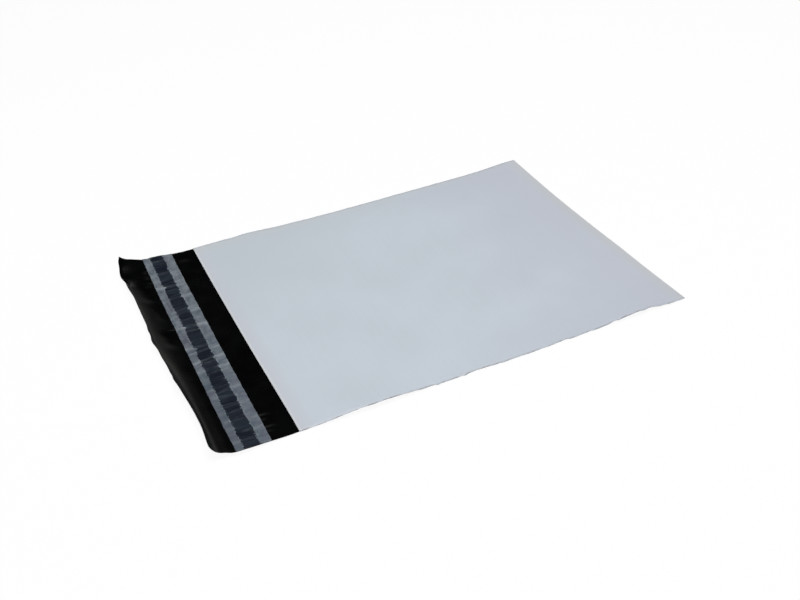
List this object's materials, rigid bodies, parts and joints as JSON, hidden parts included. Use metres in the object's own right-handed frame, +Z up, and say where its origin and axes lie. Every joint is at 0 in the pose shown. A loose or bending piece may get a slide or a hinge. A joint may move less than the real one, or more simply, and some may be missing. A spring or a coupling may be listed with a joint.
{
  "type": "poly mailer bag",
  "caption": "Flat plastic mailing bag, open at one end, with a sealing flap that carries a glue line under a peel-off liner.",
  "frame": {"origin": "on the floor under the middle of the bag as it lies flat with its flap open", "axes": "+X along the bag from the flap to the bottom fold, +Y across it, +Z up out of the front panel"},
  "size_m": [0.362, 0.2506, 0.014],
  "materials": {
    "film": "satin co-extruded film, pale blue-grey outside and black inside",
    "glue": "tacky hot-melt glue",
    "liner": "thin translucent silicone-coated film"
  },
  "bodies": {
    "root": {"film_bag": "film", "glue_line": "glue", "release_liner": "liner"}
  },
  "joints": []
}
